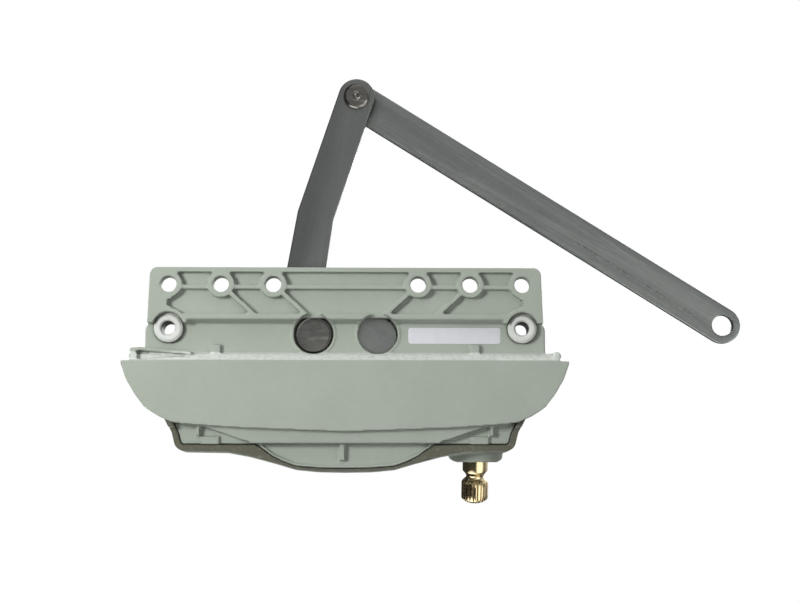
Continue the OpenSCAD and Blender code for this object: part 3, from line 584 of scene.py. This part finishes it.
def stack_rings(stations, radius_at, count, origin, axis, closed=False):
    """Rings of points along an axis, joined into a skin. Each station is (along, radius)."""
    side, other = frame_along(axis)
    vertices = []
    faces = []
    for along, radius in stations:
        for k in range(count):
            angle = 2 * math.pi * k / count
            outwards = math.cos(angle) * side + math.sin(angle) * other
            vertices.append(origin + axis * along + radius_at(angle, along, radius) * outwards)
    rings = len(stations)
    for i in range(rings if closed else rings - 1):
        for k in range(count):
            ahead = (k + 1) % count
            first = i * count
            second = (i + 1) % rings * count
            faces.append((first + k, first + ahead, second + ahead, second + k))
    if not closed:
        faces.append(tuple(range(count)))
        faces.append(tuple(range((rings - 1) * count, rings * count)))
    return vertices, faces


def plain_radius(angle, along, radius):
    """The radius of a turned piece, the same all round."""
    return radius


def eased(profile, radius, closed):
    """Rounds the corners of a line of (along, radius) points."""
    longest = 0.45
    steps = 3
    done = []
    count = len(profile)
    for i, point in enumerate(profile):
        here = Vector(point)
        if not closed and i in (0, count - 1):
            done.append(tuple(here))
            continue
        before = Vector(profile[i - 1]) - here
        after = Vector(profile[(i + 1) % count]) - here
        cut = min(radius, before.length * longest, after.length * longest)
        first = here + before.normalized() * cut
        last = here + after.normalized() * cut
        for k in range(steps + 1):
            t = k / steps
            done.append(tuple(first * (1 - t) ** 2 + here * 2 * t * (1 - t) + last * t * t))
    return done


def turned_piece(name, profile, centre, material, body, nodes=(), radius=0.15, count=72,
                 closed=False):
    """Adds a turned solid. Its profile is a line of (height, radius) points, with eased corners."""
    line = eased(profile, radius, closed)
    vertices, faces = stack_rings(line, plain_radius, count, centre, UP, closed)
    add_piece(name, shell(vertices, faces, name), material, body, nodes)


def arc(centre, radius, start, end, steps):
    """Points on an arc, with its angles in radians."""
    points = []
    for k in range(steps + 1):
        angle = start + (end - start) * k / steps
        points.append(centre + radius * Vector((math.cos(angle), math.sin(angle))))
    return points


def circle(centre, radius, steps=64):
    """Points on a whole circle."""
    return arc(centre, radius, 0.0, 2 * math.pi * (steps - 1) / steps, steps - 1)


def strip_mesh(name, outline, holes, low, high, edge):
    """A stamped strip with holes and rounded edges, from closed lines in millimetres."""
    curve = bpy.data.curves.new(name, "CURVE")
    curve.dimensions = "2D"
    curve.fill_mode = "BOTH"
    curve.extrude = ((high - low) / 2 - edge) * MM
    curve.bevel_depth = edge * MM
    curve.offset = -edge * MM
    curve.bevel_resolution = 2
    for loop in [outline, *holes]:
        spline = curve.splines.new("POLY")
        spline.points.add(len(loop) - 1)
        for point, place in zip(spline.points, loop):
            point.co = (place.x * MM, place.y * MM, 0.0, 1.0)
        spline.use_cyclic_u = True
    mesh = evaluated(placed(name, curve))
    bpy.data.curves.remove(curve)
    mesh.transform(Matrix.Translation((0.0, 0.0, (low + high) / 2 * MM)))
    return joined(mesh, 2 * SAME_POINT, math.radians(0.5))


def cut_away(mesh, name, cutter_mesh):
    """Takes a cutter out of a mesh and gives the result."""
    blank = placed(name, mesh)
    cutter = placed(name + "_cutter", cutter_mesh)
    knife = blank.modifiers.new("cut", "BOOLEAN")
    knife.operation = "DIFFERENCE"
    knife.solver = "EXACT"
    knife.object = cutter
    result = evaluated(blank)
    bpy.data.objects.remove(cutter)
    bpy.data.meshes.remove(cutter_mesh)
    return result


def groove_mesh(start, end, width, depth, surface_z):
    """A V-sided bar that cuts a shallow groove into a flat face that looks down."""
    outside = -0.6
    flare = 0.9
    across = left_of(start, end, width)
    vertices = []
    for place in (start, end):
        for reach, height in ((-0.5, depth), (0.5, depth), (flare, outside), (-flare, outside)):
            point = place + across * reach
            vertices.append((point.x, point.y, surface_z + height))
    faces = [(0, 1, 2, 3), (4, 5, 6, 7), (0, 1, 5, 4), (1, 2, 6, 5), (2, 3, 7, 6), (3, 0, 4, 7)]
    return shell(vertices, faces, "groove")


def flat(vector):
    """A place without its height."""
    return Vector((vector.x, vector.y))


def on_ground(vector):
    """A place at no height."""
    return flat(vector).to_3d()


def direction_of(start, end):
    """Angle of a line, in radians."""
    return math.atan2(end.y - start.y, end.x - start.x)


def left_of(start, end, reach):
    """A step to the left of a line."""
    along = (end - start).normalized()
    return Vector((-along.y, along.x)) * reach


class DresserOperator(bpy.types.Operator):
    """What every step of the dresser shares."""

    bl_options = {"REGISTER", "UNDO"}


class CASEMENT_OT_finishes(DresserOperator):
    """Make the shader groups and materials"""

    bl_idname = "casement.finishes"
    bl_label = "Make the finishes"

    def execute(self, context):
        build_finishes(context.scene.casement_colours)
        return {"FINISHED"}


def screw_holes():
    """Middles of the screw holes in the flange, in millimetres."""
    pairs = [entry["dims"] for name, entry in MOUNTS.items() if name.endswith("screw_pair")]
    return [Vector((side * pair["spacing_x_mm"] / 2, 0.0)) for pair in pairs for side in (1, -1)]


def pocket_floor(sizes):
    """A plate that lies in the pockets of the flange and sets how deep they look."""
    _, high = box_mm("mounting_flange")
    side = high.x - sizes.plate_inset
    back = high.y - sizes.plate_inset
    front = sizes.pocket_front
    outline = [Vector(corner) for corner in ((side, back), (-side, back), (-side, front), (side, front))]
    holes = [circle(place, sizes.screw_seat) for place in screw_holes()]
    top = sizes.pocket_depth + sizes.plate_height
    return strip_mesh("pocket_floor", outline, holes, sizes.pocket_depth, top, 0.05)


def close_rim(mesh, sizes):
    """Draws the inner edge of the cover's rim against the base, so that no open line shows between them."""
    compared_higher = 0.2
    overlap = 1.1
    low, _ = box_mm("case_cover")
    top = low.z + sizes.rim_height
    level = (top + compared_higher) * MM
    base = bmesh.new()
    base.from_mesh(frame["nodes"]["case_base"].data)
    surface = BVHTree.FromBMesh(base)
    base.free()
    for vertex in mesh.vertices:
        place = vertex.co
        if place.z > top * MM:
            continue
        near, _, _, gap = surface.find_nearest(Vector((place.x, place.y, level)))
        if gap < sizes.rim_gap * MM:
            place.xy += (near - place).xy * overlap


def recast(name, nodes, sizes, extra=None, reshape=None):
    """One mesh from several castings, rebuilt on a fine grid with eased corners and merged flat faces."""
    work = bmesh.new()
    for node in nodes:
        work.from_mesh(frame["nodes"][node].data)
    if extra:
        work.from_mesh(extra)
    bmesh.ops.remove_doubles(work, verts=work.verts, dist=TINY)
    source = bpy.data.meshes.new(name)
    work.to_mesh(source)
    work.free()
    blank = placed(name + "_blank", source)
    grid = blank.modifiers.new("grid", "REMESH")
    grid.mode = "VOXEL"
    grid.voxel_size = sizes.grid * MM
    ease = blank.modifiers.new("ease", "SMOOTH")
    ease.factor = 0.5
    ease.iterations = sizes.smoothing
    mesh = evaluated(blank)
    if reshape:
        reshape(mesh, sizes)
    blank = placed(name + "_blank", mesh)
    thin = blank.modifiers.new("thin", "DECIMATE")
    thin.ratio = sizes.faces_kept
    return evaluated(blank)


def add_casting(name, mesh, material, nodes):
    """Puts a casting in the scene. Its large faces decide the shading of the small ones round them."""
    piece = add_piece(name, mesh, material, "case", nodes, crease=60.0)
    weighted = piece.modifiers.new("even", "WEIGHTED_NORMAL")
    weighted.weight = 100
    weighted.keep_sharp = True


class CASEMENT_OT_castings(DresserOperator):
    """Build the frame of flange and base, and the cover, with eased cast edges"""

    bl_idname = "casement.castings"
    bl_label = "Build the castings"

    def execute(self, context):
        sizes = context.scene.casement_castings
        nodes = ["mounting_flange", "case_base"]
        mesh = recast("frame_casting", nodes, sizes, extra=pocket_floor(sizes))
        add_casting("frame_casting", mesh, "cast_stone", nodes)
        nodes = ["case_cover"]
        mesh = recast("cover_casting", nodes, sizes, reshape=close_rim)
        # The cover takes the coating with painted shade on its rim
        add_casting("cover_casting", mesh, "cast_shaded", nodes)
        return {"FINISHED"}


def round_end(centre, half, turn):
    """The half circle at the end of a strip that points along turn."""
    return arc(centre, half, turn - math.pi / 2, turn + math.pi / 2, 40)


class CASEMENT_OT_strips(DresserOperator):
    """Build the crank arm and the link"""

    bl_idname = "casement.strips"
    bl_label = "Build the arm and the link"

    def execute(self, context):
        sizes = context.scene.casement_steel
        edge = sizes.edge_round
        elbow = flat(ELBOW)
        bend = Vector(sizes.arm_bend)
        foot = Vector(sizes.arm_foot)
        half = sizes.arm_width / 2
        side = left_of(foot, elbow, half)
        outline = [bend - side]
        outline += round_end(elbow, half, direction_of(bend, elbow))
        outline += [bend + side]
        outline += round_end(foot, half + sizes.foot_spread, direction_of(bend, foot))
        low, high = box_mm("crank_arm")
        mesh = strip_mesh("crank_strip", outline, [], low.z, high.z, edge)
        add_piece("crank_strip", mesh, "arm_steel", "crank", ["crank_arm"])
        sunk = 0.02
        outer = sizes.hub_radius
        inner = outer - sizes.hub_width
        z, top = low.z + sunk, high.z - sunk
        profile = [(z, inner), (z, outer), (top, outer), (top, inner)]
        turned_piece("crank_hub", profile, on_ground(PIVOT), "arm_steel", "crank", radius=edge)

        end = flat(SASH_END)
        half = sizes.link_width / 2
        low, high = box_mm("link_arm")
        outline = round_end(elbow, half, direction_of(end, elbow))
        outline += round_end(end, half, direction_of(elbow, end))
        holes = [circle(elbow, sizes.shank_hole), circle(end, sizes.link_hole / 2, 96)]
        mesh = strip_mesh("link_strip", outline, holes, low.z, high.z, edge)
        offset = left_of(elbow, end, half - sizes.crease_inset)
        start, stop = (elbow.lerp(end, share) + offset for share in (0.60, 0.93))
        crease = groove_mesh(start, stop, sizes.crease_width, sizes.crease_depth, low.z)
        mesh = cut_away(mesh, "link_strip", crease)
        add_piece("link_strip", mesh, "link_steel", "link", ["link_arm"])
        return {"FINISHED"}


class CASEMENT_OT_rivets(DresserOperator):
    """Build the elbow rivet, its washer and the head of the main pivot"""

    bl_idname = "casement.rivets"
    bl_label = "Build the rivets and the pivot"

    def execute(self, context):
        low, high = box_mm("elbow_rivet")
        z, top = low.z, high.z
        shank = 3.0
        mark = [(z + 0.25, CENTRE_RADIUS), (z + 0.22, 0.5), (z + 0.02, 0.8), (z + 0.02, 1.1)]
        head = [(z + 0.22, 1.4), (z + 0.10, 1.9), (z + 0.06, 3.2), (z, 3.75), (z + 0.75, 4.62),
                (z + 1.2, 4.62), (z + 1.22, shank)]
        tail = [(top - 1.3, shank), (top - 1.3, 4.8), (top - 0.3, 4.2), (top, 3.4), (top, CENTRE_RADIUS)]
        turned_piece("elbow_rivet_steel", mark + head + tail, on_ground(ELBOW), "rivet_steel", "crank",
                     ["elbow_rivet"], radius=0.25)
        low, high = box_mm("main_pivot_pin")
        z, top = low.z, high.z
        rim = (high.x - low.x) / 2
        pin = 4.0
        neck = 3.2
        face = [(z + 0.10, CENTRE_RADIUS), (z + 0.10, rim - 1.0), (z + 0.16, rim - 0.8)]
        head = [(z + 0.02, rim - 0.6), (z + 0.02, rim - 0.25), (z + 0.3, rim), (z + 2.1, rim),
                (z + 2.1, pin)]
        tail = [(top - 3.9, pin), (top - 3.9, neck), (top - 0.8, neck), (top - 0.8, 4.3), (top, 3.0),
                (top, CENTRE_RADIUS)]
        turned_piece("pivot_pin_steel", face + head + tail, on_ground(PIVOT), "pin_steel", "case",
                     ["main_pivot_pin"])
        return {"FINISHED"}


class CASEMENT_OT_bushes(DresserOperator):
    """Build the two white side bushes"""

    bl_idname = "casement.bushes"
    bl_label = "Build the side bushes"

    def execute(self, context):
        bore = MOUNTS["bush_pair"]["dims"]["hole_r_mm"]
        skin = 0.04
        for node in ("left_bush", "right_bush"):
            low, high = box_mm(node)
            centre = on_ground((low + high) / 2)
            z, top = low.z, high.z
            outer = (high.x - low.x) / 2
            profile = [(z + 0.7, bore), (z, bore + 0.55), (z, outer - 0.75), (z + 0.35, outer - 0.4),
                       (z + 0.5, outer), (top, outer), (top, bore + 0.5), (top - 0.6, bore)]
            turned_piece(node + "_nylon", profile, centre, "white_nylon", "case", [node],
                         radius=0.22, count=96, closed=True)
            # A thin dark sleeve inside the bore: painted shade on the bore's wall
            inner = bore - 0.06
            shade_sleeve = [(z + 0.9, inner), (z + 0.9, bore + skin), (top - 0.7, bore + skin), (top - 0.7, inner)]
            turned_piece(node + "_bore", shade_sleeve, centre, "shaded_bore", "case", radius=0.02,
                         count=96, closed=True)
        return {"FINISHED"}


class CASEMENT_OT_stub(DresserOperator):
    """Build the input shaft with its splined stub"""

    bl_idname = "casement.stub"
    bl_label = "Build the splined stub"

    def execute(self, context):
        sizes = context.scene.casement_stub
        barrel = sizes.barrel_diameter / 2
        groove = sizes.groove_diameter / 2
        tip = sizes.spline_diameter / 2
        root = tip - sizes.spline_depth
        count = sizes.splines
        lip = sizes.barrel_length
        floor = lip + sizes.groove_length * 0.5
        shoulder = lip + sizes.groove_length
        end = sizes.length
        inner = -sizes.inner_length
        step = inner + sizes.spigot_length
        spigot = sizes.spigot_radius
        journal = sizes.journal_radius

        def ribbed(angle, along, radius):
            """Splines between the groove and the tip, plain elsewhere."""
            valley, flank = 0.08, 0.3
            if along < floor:
                return radius
            phase = (angle * count / (2 * math.pi)) % 1.0
            height = 1 - abs(phase - 0.5) * 2
            rise = min(1.0, max(0.0, (height - valley) / flank))
            rise = rise * rise * (3 - 2 * rise)
            return min(radius, root + (tip - root) * rise)

        shaft = [(inner, CENTRE_RADIUS), (inner, spigot - 0.3), (inner + 0.3, spigot), (step, spigot),
                 (step, journal), (0.05, journal)]
        neck = [(0.1, barrel - 0.15), (0.25, barrel), (lip - 0.3, barrel), (lip, barrel - 0.12),
                (lip + 0.7, barrel - 0.75), (lip + 1.4, groove + 0.12), (floor, groove),
                (floor + 0.35, groove)]
        head = [(shoulder - 0.95, groove + 0.5), (shoulder - 0.5, groove + 1.1),
                (shoulder - 0.1, tip - 0.25), (shoulder + 0.3, tip), (end - 1.35, tip),
                (end - 0.95, tip - 0.25), (end - 0.4, tip - 0.95), (end, tip - 1.8), (end, 0.9),
                (end - 0.4, CENTRE_RADIUS)]
        line = [Vector(point) for point in shaft + neck + head]
        stations = []
        for first, second in zip(line, line[1:]):
            stations += [first.lerp(second, k / 3) for k in range(3)]
        stations.append(line[-1])
        origin = STUB_GRIP - STUB_AXIS * sizes.grip
        vertices, faces = stack_rings(stations, ribbed, count * 12, origin, STUB_AXIS)
        mesh = shell(vertices, faces, "splined_stub")
        add_piece("splined_stub", mesh, "stub_brass", "shaft", ["input_shaft"], crease=40.0)
        return {"FINISHED"}


class CASEMENT_OT_label(DresserOperator):
    """Build the bare paper label"""

    bl_idname = "casement.label"
    bl_label = "Build the bare label"

    def execute(self, context):
        low, high = box_mm("date_label")
        radius = 1.0
        quarter = math.pi / 2
        right, left = high.x - radius, low.x + radius
        top, bottom = high.y - radius, low.y + radius
        outline = []
        for k, corner in enumerate(((right, top), (left, top), (left, bottom), (right, bottom))):
            outline += arc(Vector(corner), radius, k * quarter, (k + 1) * quarter, 8)
        mesh = strip_mesh("paper_label", outline, [], low.z, high.z, 0.03)
        add_piece("paper_label", mesh, "label_white", "case", ["date_label"])
        return {"FINISHED"}


CARRIED = {
    "screw_steel": ("cover_screws",),
    "rivet_steel": ("sector_rivets",),
    "link_steel": ("spindle_washer",),
    "gear_steel": ("pivot_washer", "sector_gear", "spindle_clip", "drive_pinion", "worm_wheel", "worm"),
    "pin_steel": ("wheel_spindle", "wheel_pins", "worm_pin"),
    "bearing_bronze": ("arm_bush", "wheel_bush", "shaft_rear_bush", "shaft_front_bush"),
    "white_nylon": ("elbow_washer", "thrust_washer"),
    "seal_rubber": ("shaft_seal",),
}
PLAIN_NODES = ("worm", "worm_wheel")
NODE_CHAMFER = 0.12


def chamfered(item):
    """Gives a CAD node small rounded edges."""
    weld = item.modifiers.new("weld", "WELD")
    weld.merge_threshold = TINY
    edge = item.modifiers.new("edges", "BEVEL")
    edge.width = NODE_CHAMFER * MM
    edge.segments = 2
    edge.limit_method = "ANGLE"
    edge.angle_limit = math.radians(40)
    edge.harden_normals = True


class CASEMENT_OT_carried(DresserOperator):
    """Finish the CAD nodes that stay: gears, pins, bushes and screws"""

    bl_idname = "casement.carried"
    bl_label = "Finish the inner pieces"

    def execute(self, context):
        for material, nodes in CARRIED.items():
            for node in nodes:
                item = frame["nodes"][node]
                item.data.materials.clear()
                item.data.materials.append(MATERIALS[material])
                if node not in PLAIN_NODES:
                    chamfered(item)
        return {"FINISHED"}


# Stage


LAMP_TARGET = Vector((-0.02, -0.02, 0.01))
# Soft square lamps: place, side and power, in metres and watts, and whether metal mirrors them
LAMPS = {
    "key_below": ((0.36, 0.06, -0.42), 0.14, 2.55, False),
    "top_below": ((0.05, 0.85, -0.45), 0.70, 2.6, True),
    "front_below": ((-0.05, -0.16, -0.85), 0.30, 0.50, True),
    "side_below": ((-0.50, -0.02, -0.42), 0.30, 0.3, True),
    "key_above": ((-0.30, 0.35, 0.75), 0.50, 5.0, True),
    "fill_above": ((0.40, -0.42, 0.66), 0.60, 3.6, False),
}
FLOOR_HALF = 1.2
FLOOR_HEIGHT = -0.0004
FLOOR_FADE = (0.25, 0.60)
ROOM_COLOUR = (1.0, 0.97, 0.92, 1.0)
WHITE = (1.0, 1.0, 1.0, 1.0)
AMBIENT = 0.155
DIM_ROOM = 0.06
# Bright panels that metal mirrors: direction, cosines at the rim and at the full level, and the level
ROOM_PANELS = (
    ((-0.62, -0.55, -0.56), 0.82, 0.93, 2.8),
    ((0.30, -0.95, -0.05), 0.80, 0.94, 4.2),
    ((-0.15, 0.20, -0.97), 0.70, 0.93, 0.76),
    ((-0.60, 0.60, 0.53), 0.45, 0.85, 1.2),
    ((-0.95, 0.25, 0.10), 0.30, 0.90, 0.40),
)
CAMERA_PLACE = Vector((-5.82465, -82.598, -570.0))
CAMERA_AIM = Vector((-18.678, -5.786, 0.0))
FOCAL_PIXELS = 1670.085


def either(tree, share, first, second):
    """Mixes two shaders by a share."""
    return put(tree, "ShaderNodeMixShader", {0: share, 1: first, 2: second}).outputs[0]


def build_floor(colour):
    """A pale floor that can't be seen from below and that fades into the white paper round it."""
    corners = ((-1, -1), (1, -1), (1, 1), (-1, 1))
    vertices = [(x * FLOOR_HALF, y * FLOOR_HALF, FLOOR_HEIGHT) for x, y in corners]
    mesh = bpy.data.meshes.new("floor")
    mesh.from_pydata(vertices, [], [(0, 1, 2, 3)])
    floor = placed("floor", mesh)
    floor.visible_shadow = False
    floor.visible_diffuse = False
    floor.visible_glossy = False
    tree, shader, place = start_material("floor_paper")
    shader.inputs["Base Color"].default_value = rgba(colour)
    shader.inputs["Roughness"].default_value = 0.9
    side = put(tree, "ShaderNodeNewGeometry").outputs["Backfacing"]
    reach = vector_math(tree, "LENGTH", place).outputs["Value"]
    hidden = combined(tree, "MAXIMUM", side, spread(tree, reach, *FLOOR_FADE))
    clear = put(tree, "ShaderNodeBsdfTransparent").outputs[0]
    choice = either(tree, hidden, shader.outputs[0], clear)
    tree.links.new(choice, tree.nodes["Material Output"].inputs["Surface"])
    mesh.materials.append(MATERIALS["floor_paper"])


def build_room(scene):
    """A dim even room, the panels that metal mirrors, and white paper for the camera."""
    world = bpy.data.worlds.new("pale_room")
    scene.world = world
    world.use_nodes = True
    tree = world.node_tree
    soft = tree.nodes["Background"]
    soft.inputs["Color"].default_value = ROOM_COLOUR
    soft.inputs["Strength"].default_value = AMBIENT
    direction = put(tree, "ShaderNodeTexCoord").outputs["Generated"]
    level = DIM_ROOM
    for toward, rim, middle, strength in ROOM_PANELS:
        lean = vector_math(tree, "DOT_PRODUCT", direction, toward).outputs["Value"]
        level = combined(tree, "MAXIMUM", level, spread(tree, lean, rim, middle, 0.0, strength))
    mirrored = put(tree, "ShaderNodeBackground", {"Color": WHITE, "Strength": level}).outputs[0]
    paper = put(tree, "ShaderNodeBackground", {"Color": WHITE, "Strength": 1.0}).outputs[0]
    rays = put(tree, "ShaderNodeLightPath").outputs
    choice = either(tree, rays["Is Glossy Ray"], soft.outputs[0], mirrored)
    seen = combined(tree, "MAXIMUM", rays["Is Camera Ray"], rays["Is Transmission Ray"])
    tree.links.new(either(tree, seen, choice, paper), tree.nodes["World Output"].inputs["Surface"])


def build_lamps():
    """The soft lamps, each turned to the middle of the part."""
    for name, (place, side, power, mirrored) in LAMPS.items():
        data = bpy.data.lights.new(name, "AREA")
        data.shape = "SQUARE"
        data.size = side
        data.energy = power
        item = placed(name, data)
        item.location = place
        item.rotation_mode = "QUATERNION"
        item.rotation_quaternion = (LAMP_TARGET - Vector(place)).to_track_quat("-Z", "Y")
        item.visible_glossy = mirrored


def build_camera(scene):
    """The camera at the photograph's viewing angle."""
    data = bpy.data.cameras.new("photo_camera")
    data.sensor_width = SENSOR
    data.lens = FOCAL_PIXELS / PHOTO_WIDTH * SENSOR
    data.clip_start = 0.01
    data.clip_end = 20.0
    camera = placed("photo_camera", data)
    forward = (CAMERA_AIM - CAMERA_PLACE).normalized()
    right = forward.cross(Vector((0.0, 1.0, 0.0))).normalized()
    up = right.cross(forward)
    turn = Matrix((right, up, -forward)).transposed().to_4x4()
    camera.matrix_world = Matrix.Translation(CAMERA_PLACE * MM) @ turn
    scene.camera = camera


class CASEMENT_OT_stage(DresserOperator):
    """Build the floor, the light and the camera"""

    bl_idname = "casement.stage"
    bl_label = "Build the stage"

    def execute(self, context):
        scene = context.scene
        build_floor(scene.casement_colours.floor)
        build_room(scene)
        build_lamps()
        build_camera(scene)
        scene.view_settings.view_transform = "Standard"
        return {"FINISHED"}


class CASEMENT_PT_dresser(bpy.types.Panel):
    """Lists the dresser's steps and settings."""

    bl_idname = "CASEMENT_PT_dresser"
    bl_label = "Casement operator"
    bl_space_type = "VIEW_3D"
    bl_region_type = "UI"
    bl_category = "Operator"

    def draw(self, context):
        for step in STEPS:
            self.layout.operator(step.bl_idname)
        for name in SETTINGS:
            group = getattr(context.scene, name)
            column = self.layout.column(heading=name)
            for key in group.__annotations__:
                column.prop(group, key)


STEPS = (
    CASEMENT_OT_finishes,
    CASEMENT_OT_castings,
    CASEMENT_OT_strips,
    CASEMENT_OT_rivets,
    CASEMENT_OT_bushes,
    CASEMENT_OT_stub,
    CASEMENT_OT_label,
    CASEMENT_OT_carried,
    CASEMENT_OT_stage,
)
SETTINGS = {
    "casement_steel": SteelSizes,
    "casement_castings": CastingSizes,
    "casement_stub": StubSizes,
    "casement_colours": FinishColours,
}


def register():
    for group in SETTINGS.values():
        bpy.utils.register_class(group)
    for step in STEPS:
        bpy.utils.register_class(step)
    bpy.utils.register_class(CASEMENT_PT_dresser)
    for name, group in SETTINGS.items():
        setattr(bpy.types.Scene, name, bpy.props.PointerProperty(type=group))


def unregister():
    for name in SETTINGS:
        delattr(bpy.types.Scene, name)
    bpy.utils.unregister_class(CASEMENT_PT_dresser)
    for step in reversed(STEPS):
        bpy.utils.unregister_class(step)
    for group in reversed(SETTINGS.values()):
        bpy.utils.unregister_class(group)


def main():
    """Registers the add-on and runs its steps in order."""
    register()
    for step in STEPS:
        getattr(bpy.ops.casement, step.bl_idname.removeprefix("casement."))()
    bpy.context.view_layer.update()


if __name__ == "__main__":
    main()
